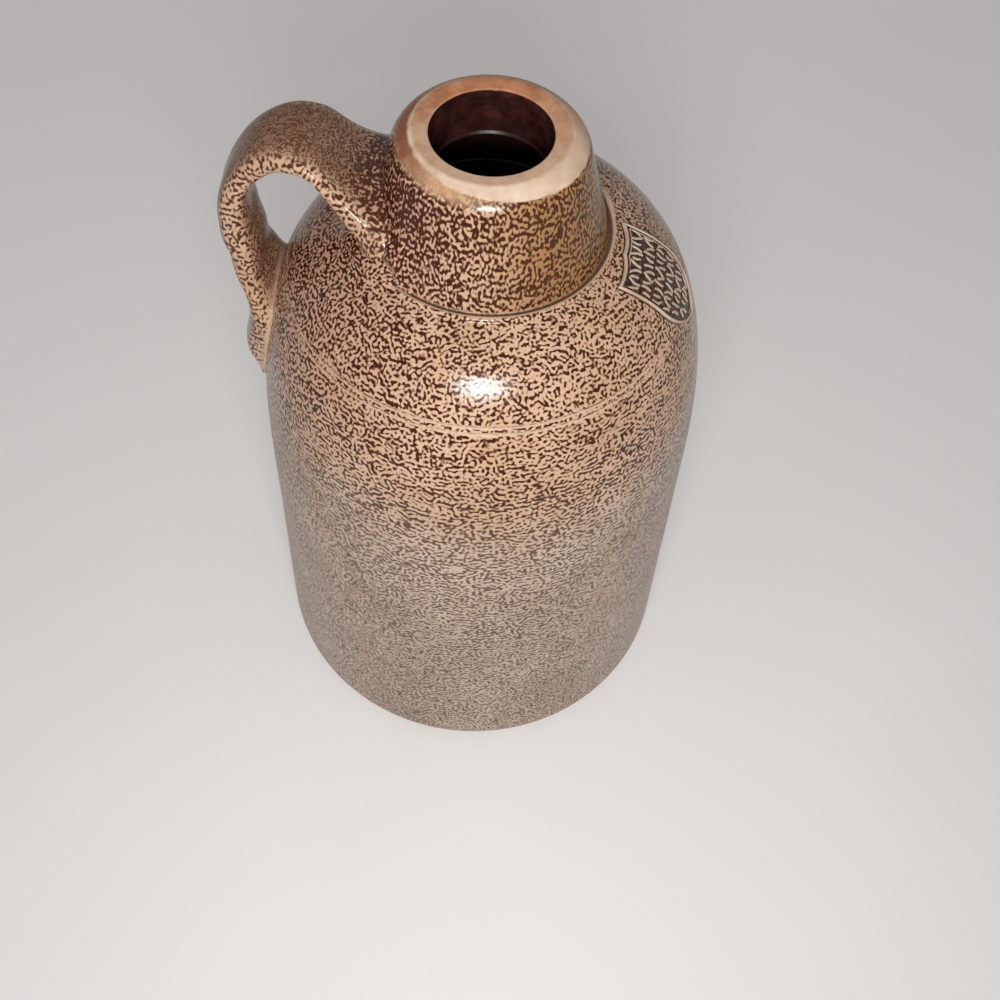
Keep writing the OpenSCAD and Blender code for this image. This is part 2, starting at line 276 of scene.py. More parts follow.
neck_in = [mouth_arc[7:], np.linspace((MOUTH_R, EDGE_Z), ridge[0], 14)[1:-1], ridge,
           bez(throat, np.linspace(0, 1, 18))[1:-1]]


class Nodes:
    """Short calls for building one material's node tree."""

    def __init__(self, name):
        self.material = bpy.data.materials.new(name)
        self.material.use_nodes = True
        self.tree = self.material.node_tree
        self.bsdf = self.tree.nodes["Principled BSDF"]

    def put(self, socket, value):
        """Link another node's socket, or set a constant: a number, a vector or a colour."""
        if isinstance(value, bpy.types.NodeSocket):
            self.tree.links.new(value, socket)
        elif hasattr(value, "__len__"):
            socket.default_value = (*value, 1)[:len(socket.default_value)]
        else:
            socket.default_value = value

    def new(self, kind, inputs, **props):
        node = self.tree.nodes.new("ShaderNode" + kind)
        for key, value in props.items():
            setattr(node, key, value)
        for key, value in inputs.items():
            self.put(node.inputs[key], value)
        return node

    def math(self, op, a, b):
        return self.new("Math", {0: a, 1: b}, operation=op).outputs[0]

    def vector_math(self, op, a, b):
        return self.new("VectorMath", {0: a, 1: b}, operation=op).outputs[0]

    def add(self, *terms):
        total = terms[0]
        for term in terms[1:]:
            total = self.math("ADD", total, term)
        return total

    def times(self, a, b):
        return self.math("MULTIPLY", a, b)

    def less(self, a, b):
        return self.math("SUBTRACT", a, b)

    def centred(self, x, gain):
        """A value around 0.5 made to swing around 0."""
        return self.times(self.less(x, 0.5), gain)

    def step(self, x, low, high, out_low=0.0, out_high=1.0):
        return self.new("MapRange", {"Value": x, "From Min": low, "From Max": high,
                                     "To Min": out_low, "To Max": out_high},
                        interpolation_type="SMOOTHSTEP").outputs[0]

    def mix(self, factor, a, b):
        """Mix two colours."""
        return self.new("Mix", {0: factor, 6: a, 7: b}, data_type="RGBA").outputs[2]

    def mixf(self, factor, a, b):
        """Mix two numbers."""
        return self.new("Mix", {0: factor, 2: a, 3: b}, data_type="FLOAT").outputs[0]

    def position(self):
        return self.new("TexCoord", {}).outputs["Object"]

    def noise(self, vector, per_metre, detail=2.0, rough=0.5, output=0):
        return self.new("TexNoise", {"Vector": vector, "Scale": per_metre, "Detail": detail,
                                     "Roughness": rough}).outputs[output]

    def worms(self, vector, period_mm):
        """Labyrinth of even width: band-limited noise with no direction, centred on 0."""
        node = self.new("TexGabor", {"Vector": vector, "Scale": 500 / period_mm,
                                     "Frequency": 2.0, "Anisotropy": 0.0}, gabor_type="3D")
        return self.less(node.outputs["Value"], 0.5)

    def attribute(self, name, output="Fac"):
        return self.new("Attribute", {}, attribute_name=name).outputs[output]

    def finish(self, colour, roughness, bump_depth, height, ior):
        bump = self.new("Bump", {"Strength": 0.5, "Distance": bump_depth, "Height": height})
        self.put(self.bsdf.inputs["Base Color"], colour)
        self.put(self.bsdf.inputs["Roughness"], roughness)
        self.put(self.bsdf.inputs["Normal"], bump.outputs[0])
        self.bsdf.inputs["IOR"].default_value = ior


def srgb(*channels):
    return tuple(c / 12.92 if c <= 0.04045 else ((c + 0.055) / 1.055) ** 2.4
                 for c in (channel / 255 for channel in channels))


# Periods of the mottle in mm, its contrast, and heights in metres where the look changes
MOTTLE, FINE_MOTTLE, CONTRAST = 1.32, 0.78, 14
BROWN_ENDS, BROWN_STARTS = 0.128, 0.160
UNDER_LINES, OVER_LINES = 0.176, 0.1785
THROAT_Z = 0.2165


def rim_and_inside(n, p, z, red, rim, colour, roughness, height):
    """The unglazed rim and the dark inside over a turned piece's glaze."""
    crest, inside = n.attribute("crest"), n.attribute("inside")
    # Cream on the rounding, burnt orange on the land, and at the crest a pale ring of worn clay
    # with a painted highlight, strongest towards the front and the handle
    tone = n.noise(p, 170, 4, 0.65)
    spot = n.step(tone, 0.3, 0.7)
    land = n.mix(red, n.mix(spot, srgb(204, 164, 132), srgb(224, 190, 160)),
                 n.mix(spot, srgb(172, 106, 70), srgb(204, 142, 102)))
    cream = n.mix(spot, srgb(208, 176, 148), srgb(226, 202, 178))
    cream = n.mix(red, cream, srgb(192, 146, 114))
    ragged = n.add(rim, n.centred(n.noise(p, 420, 3), 0.45))
    glaze_edge = n.step(ragged, 0.26, 0.5)
    colour = n.mix(glaze_edge, colour, cream)
    colour = n.mix(n.step(ragged, 0.70, 0.88), colour, land)
    colour = n.mix(n.times(crest, spot), colour, srgb(232, 210, 188))
    # Inside: dark iron glaze, wine-brown where it thins
    thin = n.step(n.noise(p, 240, 3), 0.35, 0.75)
    inner = n.mix(thin, srgb(44, 21, 19), srgb(74, 38, 33))
    # Near black down the throat: painted shade deep in the bore
    inner = n.mix(n.step(z, THROAT_Z, 0.210), inner, srgb(26, 12, 11))
    colour = n.mix(inside, colour, inner)
    roughness = n.mixf(glaze_edge, roughness, 0.44)
    roughness = n.mixf(inside, roughness, n.step(z, THROAT_Z, 0.2135, 0.28, 0.36))
    height = n.mixf(glaze_edge, height, n.times(tone, 0.6))
    runs = n.noise(n.vector_math("MULTIPLY", p, (0.5, 0.5, 1.6)), 420, 2)
    height = n.mixf(inside, height, n.times(runs, n.step(z, THROAT_Z, 0.222, 0.5, 2.6)))
    return colour, roughness, height


def stoneware(name, strap):
    """Salt-glazed stoneware, steered by the meshes' own attributes such as weave, cover and red."""
    n = Nodes(name)
    p = n.position()
    z = n.new("SeparateXYZ", {"Vector": p}).outputs["Z"]
    cover, bare, red = (n.attribute(k) for k in ("cover", "bare", "red"))

    # The strong brown ends in a wavy edge below the shoulder
    wavy_z = n.add(z, n.centred(n.noise(p, 20, 3), 0.024))
    low = n.step(wavy_z, BROWN_STARTS, BROWN_ENDS)

    # The mottle: one even labyrinth, finer on the top of the strap
    bend = n.vector_math("SUBTRACT", n.noise(p, 300, 1.0, output="Color"), (0.5, 0.5, 0.5))
    bend = n.vector_math("MULTIPLY", bend, (0.0008, 0.0008, 0.0008))
    woven = n.vector_math("ADD", n.attribute("weave", "Vector"), bend)
    mottle = n.worms(woven, MOTTLE)
    if strap:
        fine = n.attribute("fine")
        mottle = n.mixf(fine, mottle, n.worms(woven, FINE_MOTTLE))
    mottle = n.times(mottle, CONTRAST)

    # Turning rings pull it into short level dashes under the lines
    rings = n.noise(n.vector_math("MULTIPLY", p, (0.12, 0.12, 1.0)), 620, 1)
    zone = n.times(n.step(z, 0.060, 0.165, 0.35, 1.0), n.step(z, OVER_LINES, UNDER_LINES))
    patchy = n.noise(p, 48, 3, 0.6)
    grain = n.noise(p, 1500, 2)
    value = n.add(mottle, n.times(n.centred(rings, 3.4), zone), n.centred(patchy, 1.7),
                  n.centred(n.noise(woven, 1000, 1), 7.0), n.centred(grain, 1.5))
    value = n.less(value, n.centred(cover, 2.6))
    dark = n.step(value, 0.95, -0.95)
    deep = n.step(value, -0.4, -1.5)

    # Pale clay and iron brown above, greyer and softer below
    spot = n.step(n.noise(p, 34, 3, 0.55), 0.3, 0.7)
    pale = n.mix(spot, srgb(196, 160, 128), srgb(212, 176, 150))
    pale = n.mix(red, pale, srgb(194, 150, 125))
    pale = n.mix(low, pale, n.mix(spot, srgb(196, 170, 148), srgb(208, 184, 164)))
    if strap:
        brown = n.mix(deep, srgb(124, 84, 56), srgb(78, 44, 26))
    else:
        brown = n.mix(deep, srgb(106, 60, 30), srgb(62, 26, 10))
    brown = n.mix(red, brown, srgb(66, 22, 8))
    brown = n.mix(low, brown, n.mix(deep, srgb(130, 102, 82), srgb(100, 74, 58)))
    if strap:
        pale = n.mix(fine, pale, n.mix(red, srgb(176, 140, 114), srgb(150, 110, 84)))
        brown = n.mix(fine, brown, srgb(98, 66, 47))
    else:
        # Tan on the neck's right, and a plain blush under its rim
        tan = n.attribute("tan")
        pale = n.mix(tan, pale, srgb(164, 119, 78))
        brown = n.mix(tan, brown, srgb(72, 38, 14))
        blush = n.add(n.attribute("blush"), n.centred(n.noise(p, 420, 3), 0.5))
        blush = n.step(blush, 0.15, 0.85)
        flushed = n.mix(n.step(red, 0.05, 0.4), srgb(200, 158, 122), srgb(148, 90, 58))
        pale = n.mix(blush, pale, flushed)
        dark = n.times(dark, n.less(1.0, n.times(blush, 0.85)))
    colour = n.mix(n.times(dark, n.less(1.0, bare)), pale, brown)
    # Plain clay on the bare strips, which also carries the painted highlights on the incised lines'
    # lips and the strap's upper edges
    plain_clay_and_highlight = n.mix(red, srgb(210, 184, 158), srgb(188, 148, 120))
    colour = n.mix(n.times(bare, 0.7), colour, plain_clay_and_highlight)
    roughness = n.add(n.mixf(dark, 0.21, 0.19), n.centred(patchy, 0.08))
    roughness = n.mixf(low, roughness, 0.34)
    peel = n.noise(p, 620, 2, 0.5)
    height = n.add(n.times(mottle, 0.014), n.times(peel, 0.35), n.times(grain, 0.06))
    if not strap:
        # Dark glaze pooled in the groove at the neck's foot, and painted shade in the cores of the
        # incised lines
        pool_and_line_shade = n.math("MAXIMUM", n.attribute("pool"), n.attribute("cut"))
        colour = n.mix(pool_and_line_shade, colour, srgb(66, 38, 24))
        colour, roughness, height = rim_and_inside(
            n, p, z, red, n.attribute("rim"), colour, roughness, height)
    n.finish(colour, roughness, 0.0004, height, 1.5)
    n.bsdf.inputs["Specular IOR Level"].default_value = 0.34
    return n.material


def label_clay():
    """Pale glazed clay of the tablet, dark where the glaze lies in the hollows."""
    n = Nodes("label_clay")
    p = n.position()
    edge = n.add(n.attribute("relief"), n.centred(n.noise(p, 420, 3, 0.6), 0.35))
    pale = n.mix(n.step(n.noise(p, 90, 2), 0.3, 0.7), srgb(190, 160, 138), srgb(212, 190, 168))
    hollow = n.mix(n.step(n.worms(p, 1.2), 0.0, 0.05), srgb(40, 24, 16), srgb(92, 62, 46))
    colour = n.mix(n.step(edge, 0.26, 0.6), hollow, pale)
    roughness = n.mixf(n.step(edge, 0.3, 0.6), 0.22, 0.34)
    n.finish(colour, roughness, 0.0003, n.noise(p, 700, 2), 1.52)
    return n.material


GLAZE = stoneware("salt_glazed_stoneware", False)
STRAP_GLAZE = stoneware("salt_glazed_strap", True)
LABEL = label_clay()

# The mottle's scale by height, and its integral, so that the pattern is never cut
GROWTH_Z, GROWTH = np.array([
    (0, 0.95), (100, 0.92), (150, 0.88), (172, 1.0), (188, 1.17), (230, 1.17)]).T
HEIGHTS, HEIGHT_STEP = np.linspace(0, 230, 461, retstep=True)
GROWN = np.cumsum(np.interp(HEIGHTS[:-1] + HEIGHT_STEP / 2, GROWTH_Z, GROWTH) * HEIGHT_STEP)
GROWN = np.concatenate([[0], GROWN])
NECK_WEAVE, STRAP_WEAVE = (1.32, 1.32, 0.72), (1.14, 1.14, 0.8)
ROOT_CENTRE, ROOT_HALF = (-30.0, 0, 199.0), (0, 13.0, 0)


def weave(v, on_neck):
    """Where the mottle is looked up: a little finer towards the top, drawn out down the neck."""
    grow = np.interp(v[:, 2], GROWTH_Z, GROWTH)[:, None]
    body = np.concatenate([v[:, :2] * grow, np.interp(v[:, 2], HEIGHTS, GROWN)[:, None]], 1)
    return np.where(on_neck[:, None], v * NECK_WEAVE, body) * MM


def gap_to_root(v):
    """Distance from the line between the two corners of the strap's root."""
    corner = np.abs(v - ROOT_CENTRE) - ROOT_HALF
    return np.linalg.norm(np.maximum(corner, 0), axis=1)


def turned_attributes(v, inside):
    """How the glaze lies on turned pieces, and where light and shade are painted on. Side is
    towards the handle, front towards the photo.
    """
    r = np.maximum(np.hypot(v[:, 0], v[:, 1]), 1e-9)
    z = v[:, 2]
    side, front = -v[:, 0] / r, -v[:, 1] / r
    patch = value_noise(v / 9.0, 11) * 0.5 + value_noise(v / 3.0, 12) * 0.3
    on_neck = (z > 195.5) & (r < BEAD_IN_R)
    high = smooth_step(z, 140, 190)

    # Cover is the share of brown, red its warmth
    belt = hill(z, 163, 13) * smooth_step(front, 0.2, 0.9)
    neck_cover = (0.11 + 0.25 * smooth_step(side, -0.5, 0.9) - 0.04 * smooth_step(-side, 0.2, 0.9))
    cover = 0.46 - 0.07 * belt + high * (0.07 * side + 0.05 * patch) + on_neck * neck_cover
    cover = cover + 0.38 * hill(gap_to_root(v), 0, 9.0) * (1 - 0.6 * on_neck)
    red = high * (0.75 * smooth_step(side, 0.1, 1.0) + 0.3 * patch)
    red = red + on_neck * 0.35 * smooth_step(side, -0.5, 0.7)
    rim_red = 0.45 - 0.55 * front + 0.15 * side + 0.35 * patch
    red = np.where((z > 221) & (r < 25), rim_red, red)

    # Plain strips: the bead and the foot of the neck. On the incised lines, a painted highlight on
    # the lips and painted shade in the cores, both fading towards the sides
    bead_part = (smooth_step(z, 196.2, 196.7) * smooth_step(r, BEAD_IN_R - 0.1, BEAD_IN_R + 0.2)
                 * fade(r, SHOULDER_END_R - 1.1, SHOULDER_END_R - 0.6))
    neck_foot = on_neck * fade(z, 196.8, 197.1)
    line = from_line(np.stack([r, z], -1))
    left = side > 0
    line_light = smooth_step(front, np.where(left, 0.3, 0.5), np.where(left, 0.6, 0.8))
    line_light = 0.25 + 0.75 * line_light
    lip_highlight = 0.9 * line_light * hill(line, 0.32, 0.16)
    cut = 0.75 * line_light * hill(line, 0, 0.13)
    bare = np.clip(0.85 * bead_part + 0.35 * neck_foot + lip_highlight, 0, 1)
    pool = (r > NECK_FOOT_R - 1) & (r < BEAD_IN_R + 0.05) & (z < 196.6) & (z > 195)

    # The glaze ends below the rim, higher towards the handle
    edge_z = 225.2 + 0.3 * np.maximum(front, 0) + 1.5 * side
    rim = 0.62 * smooth_step(z, edge_z - 1.0, edge_z + 0.7) + 0.38 * fade(r, 19.7, 20.4) * (z > 224)
    # The crest's pale ring: worn clay all round, raised towards the front and the handle by a
    # painted highlight
    wear_and_light = 0.45 + 0.55 * smooth_step(side + 0.6 * front, -0.3, 0.8)
    blush = smooth_step(z, edge_z - 4.5, edge_z) * smooth_step(side + 0.35 * front, -0.2, 1.0)
    return {
        "weave": weave(v, on_neck), "cover": cover, "bare": bare, "red": np.clip(red, 0, 1),
        "pool": 0.8 * pool, "cut": cut, "tan": on_neck * smooth_step(-side, -0.2, 0.6),
        "blush": on_neck * blush, "rim": rim * (r > MOUTH_R - 0.3),
        "crest": hill(r, 20.1, 0.5) * (z > 225) * wear_and_light, "inside": inside}


def turned_piece(name, node, outside, inside):
    """A closed turned piece from the parts of its profile."""
    v, faces, point_of = revolve(np.concatenate(outside + inside))
    is_inside = (point_of >= sum(len(part) for part in outside)).astype(float)
    add_mesh(name, v, faces, turned_attributes(v, is_inside), node, GLAZE)


turned_piece("jug_lower", "lower_body", lower_out, lower_in)
turned_piece("jug_shoulder", "shoulder", shoulder_out, shoulder_in)
turned_piece("jug_neck", "neck", neck_out, neck_in)

# The strap's sections. STRAP: distance from the neck's foot in reaches, height over the shoulder
# in rises, width and thickness in their own units. FOOT: share of the shoulder's curve, height
# over it in thicknesses, width and thickness.
REACH, RISE, STRAP_W, STRAP_T = 34.2, 24.0, 24.0, 7.4
STRAP = [
    (-0.60, -0.06, 1.10, 2.30), (-0.40, 0.10, 1.38, 2.30), (-0.20, 0.26, 1.56, 2.05),
    (-0.01, 0.47, 1.44, 1.55), (0.15, 0.70, 1.26, 1.00), (0.32, 0.95, 1.12, 0.80),
    (0.52, 1.00, 1.01, 0.96), (0.70, 0.885, 0.88, 1.13), (0.88, 0.615, 0.82, 1.04),
    (0.99, 0.24, 0.83, 1.16), (1.00, -0.14, 0.86, 1.30)]
FOOT = [
    (0.66, 1.64, 0.91, 1.24), (0.60, 1.14, 0.98, 1.14), (0.55, 0.61, 1.10, 1.11),
    (0.48, 0.17, 1.22, 1.17), (0.40, 0.06, 1.21, 1.26), (0.33, 0.08, 1.17, 1.28),
    (0.28, -0.19, 1.08, 1.24), (0.23, -0.73, 0.90, 1.15), (0.16, -1.34, 0.42, 1.11)]
KEYS = np.array([
    (NECK_FOOT_R + a * REACH, SHOULDER_TOP_Z + b * RISE, c * STRAP_W / 2, d * STRAP_T / 2)
    for a, b, c, d in STRAP] + [
    (*off_skin(a, b * STRAP_T), c * STRAP_W / 2, d * STRAP_T / 2) for a, b, c, d in FOOT])
KEY_STEPS, AROUND, SQUARENESS = 14, 96, 2.7
BLEND = 10.0

# The jug's outside, without its incised lines and the groove
OUTLINE = np.concatenate([
    foot, bez(CURVE, np.linspace(0, 1, 80)), bez(bead, np.linspace(0, 1, 9)),
    [(NECK_FOOT_R, SHOULDER_TOP_Z)], rim_arc])


def through(k, steps):
    """A smooth run through the keys, without the first and last, which only give direction."""
    out = []
    for i in range(1, len(k) - 2):
        a, b, c, d = k[i - 1:i + 3]
        for t in np.arange(steps) / steps:
            out.append((2 * b + (c - a) * t + (2 * a - 5 * b + 4 * c - d) * t * t
                        + (3 * b - a - 3 * c + d) * t ** 3) / 2)
    out.append(k[-2])
    return np.array(out)


def gap_to_body(v):
    """Distance of points from the jug's outside, negative inside it."""
    q = np.stack([np.hypot(v[:, 0], v[:, 1]), v[:, 2]], -1)
    best = np.full(len(q), 1e9)
    sign = np.ones(len(q))
    for start, end in zip(OUTLINE[:-1], OUTLINE[1:]):
        d = end - start
        t = np.clip(((q - start) @ d) / max(d @ d, 1e-12), 0, 1)
        w = q - (start + t[:, None] * d)
        dist = np.hypot(w[:, 0], w[:, 1])
        closer = dist < best
        best = np.where(closer, dist, best)
        sign = np.where(closer, np.where(w[:, 0] * d[1] - w[:, 1] * d[0] >= 0, 1.0, -1.0), sign)
    return best * sign


def fillet(gap):
    """Height of a hollow fillet on one skin at a distance from the other."""
    height = (math.sqrt(BLEND) - np.sqrt(np.maximum(gap, BLEND / 4))) ** 2
    return np.where(gap < BLEND, height, 0)


def power(x, exponent):
    return np.sign(x) * np.abs(x) ** exponent


def strap():
    """The handle, with its clay smeared out where it is pressed on. Gives its search tree."""
    rings = through(KEYS, KEY_STEPS)
    m = len(rings)
    tangent = unit(np.gradient(rings[:, :2], axis=0))
    a = np.linspace(0, 2 * math.pi, AROUND, endpoint=False)
    sx, sy = power(np.cos(a), 2 / SQUARENESS), power(np.sin(a), 2 / SQUARENESS)
    thick = sy * rings[:, None, 3]
    v = np.stack([-(rings[:, None, 0] - thick * tangent[:, None, 1]), sx * rings[:, None, 2],
                  rings[:, None, 1] + thick * tangent[:, None, 0]], -1)
    out = unit((v - v.mean(1, keepdims=True)).reshape(-1, 3))
    v = v.reshape(-1, 3)
    along = np.repeat(np.arange(m), AROUND) / (m - 1)

    def round_all(values):
        return np.tile(values, m)

    gap = gap_to_body(v)
    at_root = fade(along, 0.1, 0.26)
    flare = 2.8 * np.exp(-np.maximum(gap, 0) / 1.5) * smooth_step(gap, -3.0, 0.0)
    flare = np.maximum(flare, fillet(gap) * at_root * round_all(fade(sy, 0.1, 0.8)))
    v = v + out * flare[:, None]
    lump = 0.18 * value_noise(v / 9.0, 21) + 0.07 * value_noise(v / 3.5, 22) - 0.2
    v = v + out * lump[:, None]
    ids = np.arange(m * AROUND).reshape(m, AROUND)
    faces = quads(np.concatenate([ids, ids[:, :1]], 1))
    faces += [ids[0, ::-1].tolist(), ids[-1].tolist()]

    # The glaze: fine and brown on the top and underside, coarser and darker near the neck
    gap = gap_to_body(v)
    top = round_all(smooth_step(sy, 0.55, 0.95))
    under = round_all(smooth_step(-sy, 0.5, 0.95))
    leg = smooth_step(along, 0.45, 0.7)
    patch = value_noise(v / 8.0, 31) * 0.5 + 0.5
    near = fade(gap, 1, 12) * (1 - leg)
    fine = np.clip(top * (1 - 0.7 * leg) + 0.8 * under, 0, 1) * (1 - 0.8 * near)
    red = top * (1 - leg) * (0.5 + 0.5 * patch) + 0.5 * under + 0.2 * patch
    cover = 0.40 + 0.14 * fine + 0.5 * fade(gap, 1, 9) * (1 - leg)
    cover += 0.1 * (1 - at_root) * round_all(smooth_step(sy, -0.3, 0.6))
    # Plain strips: the seam of the leg, and the two upper edges, pale where the glaze runs thin,
    # with a painted highlight along them
    seam = hill(np.maximum(gap, 0), 0, 0.9) * (gap > -2)
    edge = round_all(hill(sy, 0.86, 0.12) * smooth_step(np.abs(sx), 0.6, 0.95))
    bare = 0.7 * seam * (1 - top * 0.5) * leg + 0.4 * edge * smooth_step(gap, 5, 11)
    add_mesh("jug_handle", v, faces, {
        "weave": v * STRAP_WEAVE * MM, "cover": cover, "fine": fine,
        "bare": np.clip(bare, 0, 1), "red": np.clip(red, 0, 1)}, "handle", STRAP_GLAZE)
    return BVHTree.FromPolygons(v.tolist(), faces)


strap_tree = strap()

# The clay under the strap's root: its half turn in degrees, its steps round and up, its depth
ROOT_TURN, ROOT_STEPS, ROOT_SIZE, ROOT_DEPTH = 76, 190, 6.4, 1.5
NECK_STEPS, BRIDGE_STEPS, SKIN_STEPS = 24, 14, 30
ROOT_TOP_Z, ROOT_END_R = 216, 54


def root_clay():
    """Clay thumbed down from the strap onto the neck and shoulder, over the groove and the bead."""
    shares = np.linspace(0, 1, 400)
    skin_r = bez(CURVE, shares)[:, 0]
    index = np.arange(NECK_STEPS + BRIDGE_STEPS + SKIN_STEPS)
    bridged = (index >= NECK_STEPS) & (index < NECK_STEPS + BRIDGE_STEPS)
    sunk = np.where(bridged, -0.03, 0.08)
    top, low = [], []
    for a in np.radians(np.linspace(-ROOT_TURN, ROOT_TURN, ROOT_STEPS)):
        size = ROOT_SIZE * fade(abs(math.degrees(a)), 30, 62)
        size *= 1 + 0.12 * math.sin(5 * a + 1)
        zs = np.linspace(ROOT_TOP_Z, SHOULDER_TOP_Z - 0.3 + 1.1 * size, NECK_STEPS)
        neck_r = NECK_FOOT_R - (zs - LEDGE_Z) * math.tan(math.radians(LEAN))
        neck_part = np.stack([neck_r, zs], -1)
        ends = np.interp([-(SHOULDER_END_R + 0.95 * size), -ROOT_END_R], -skin_r, shares)
        skin_part = bez(CURVE, np.linspace(*ends, SKIN_STEPS))
        corner = np.array([33.2 + 0.1 * size, 196.2 + 0.1 * size])
        t = np.linspace(0, 1, BRIDGE_STEPS + 2)[1:-1, None]
        bridge = ((1 - t) ** 2 * neck_part[-1] + 2 * t * (1 - t) * corner + t * t * skin_part[0])
        curve = np.concatenate([neck_part, bridge, skin_part])
        along = unit(np.gradient(curve, axis=0))
        turned = np.array([-math.cos(a), -math.sin(a)])
        ring = turning(np.column_stack([curve[:, :1] * turned, curve[:, 1]]))
        out = np.column_stack([-along[:, 1:] * turned, along[:, 0]])
        gap = np.array([strap_tree.find_nearest(Vector(q))[3] for q in ring])
        rise = fillet(np.maximum(gap, 0.8)) * fade(ring[:, 2], 203, 210)
        rise -= sunk * fade(rise, 0, 0.15)
        top.append(ring + out * rise[:, None])
        low.append(ring - out * ROOT_DEPTH)
    v = np.concatenate(top + low)
    half = len(v) // 2
    ids = np.arange(half).reshape(ROOT_STEPS, -1)
    faces = quads(ids) + [q[::-1] for q in quads(ids + half)]
    edge = np.concatenate([ids[0, :-1], ids[:-1, -1], ids[-1, :0:-1], ids[:0:-1, 0]])
    after = np.roll(edge, -1)
    faces += np.stack([after, edge, edge + half, after + half], -1).tolist()
    values = turned_attributes(v, np.zeros(len(v)))
    for key in ("bare", "pool", "cut", "rim", "blush", "crest"):
        values[key] = np.zeros(len(v))
    add_mesh("jug_handle_root", v, faces, values, "handle", GLAZE)


root_clay()

# The label tablet, in its own plane: x down the shoulder, y across
LABEL_W, LABEL_L, DROP, SCALLOP = 22.4, 31.2, 0.4, 0.8
FIELD_T, BORDER_T = 0.5, 1.1
TABLET_TURN, TABLET_LEAN, TABLET_SHARE = math.radians(9), math.radians(8), 0.782
OGIVE = ((LABEL_L / 2) ** 2 + (LABEL_W / 2) ** 2) / LABEL_W
TABLET_GRID, TABLET_MARGIN, TABLET_DEPTH = (260, 190), 1.2, 1.2


def tablet_distance(x, y):
    """How far a point of the tablet's plane lies inside its outline."""
    side = LABEL_W / 2 - np.abs(y)
    point = OGIVE - np.hypot(x, np.abs(y) + OGIVE - LABEL_W / 2)
    body = np.where(x < 0, side, point)
    chord = math.hypot(DROP, LABEL_W / 2)
    r = ((chord / 2) ** 2 + SCALLOP ** 2) / SCALLOP / 2
    cx = -LABEL_L / 2 + DROP / 2 - (r - SCALLOP) * (LABEL_W / 2) / chord
    cy = LABEL_W / 4 - (r - SCALLOP) * DROP / chord
    return np.minimum(body, np.hypot(x - cx, np.abs(y) - cy) - r)


def strokes(x, y):
    """Rows of short raised strokes, set down by hand at changing slants: a plain pattern."""
    out = np.zeros_like(x)
    for i in range(6):
        for j in range(11):
            wave = math.sin(i * 7.3 + j * 3.1)
            cx = 4.1 * i - 11.4 + 0.25 * wave
            cy = 1.85 * (j - 5) + 0.2 * math.sin(i * 2.7 + j * 5.3)
            half = 1.2 + 0.35 * math.sin(i * 4.1 + j * 2.3)
            ends = tablet_distance(np.array([cx - half, cx + half]), np.array([cy, cy]))
            if ends.min() < 1.55:
                continue
            lean = (0.4, -0.35, 0.15)[(i + j) % 3] + 0.25 * wave
            bow = 0.22 * math.sin(i * 3.9 + j * 1.7)
            dx = x - cx
            dy = y - cy - lean * dx - bow * (dx * dx - 0.6)
            away = np.hypot(np.maximum(np.abs(dx) - half, 0), dy / math.hypot(1, lean))
            out = np.maximum(out, fade(away, 0.18, 0.66))
    return out


def on_shoulder(x, y, height):
    """Points of the tablet's plane laid on the shoulder, at a height over its skin."""
    mid = bez(CURVE, TABLET_SHARE)
    t = unit(bez_dir(CURVE, TABLET_SHARE))
    down, up = np.array([-t[0], 0, -t[1]]), np.array([t[1], 0, -t[0]])
    c, s = math.cos(TABLET_LEAN), math.sin(TABLET_LEAN)
    plane = (x * c - y * s)[:, None] * down + np.array([mid[0], 0, mid[1]])
    plane[:, 1] += x * s + y * c
    shares = np.linspace(0.35, 1, 400)[::4]
    skin = bez(CURVE, shares)
    skin_t = unit(bez_dir(CURVE, shares))
    normals = np.stack([skin_t[:, 1], -skin_t[:, 0]], -1)
    depth = np.zeros(len(x))
    for _ in range(12):
        p = plane + depth[:, None] * up
        q = np.stack([np.hypot(p[:, 0], p[:, 1]), p[:, 2]], -1)
        k = np.argmin(((q[:, None, :] - skin) ** 2).sum(-1), axis=1)
        gap = ((q - skin[k]) * normals[k]).sum(1)
        depth -= (gap - height) / np.maximum(normals[k] @ np.array([t[1], -t[0]]), 0.4)
    c, s = math.cos(TABLET_TURN), math.sin(TABLET_TURN)
    return (plane + depth[:, None] * up) @ np.array([[c, s, 0], [-s, c, 0], [0, 0, 1]]).T


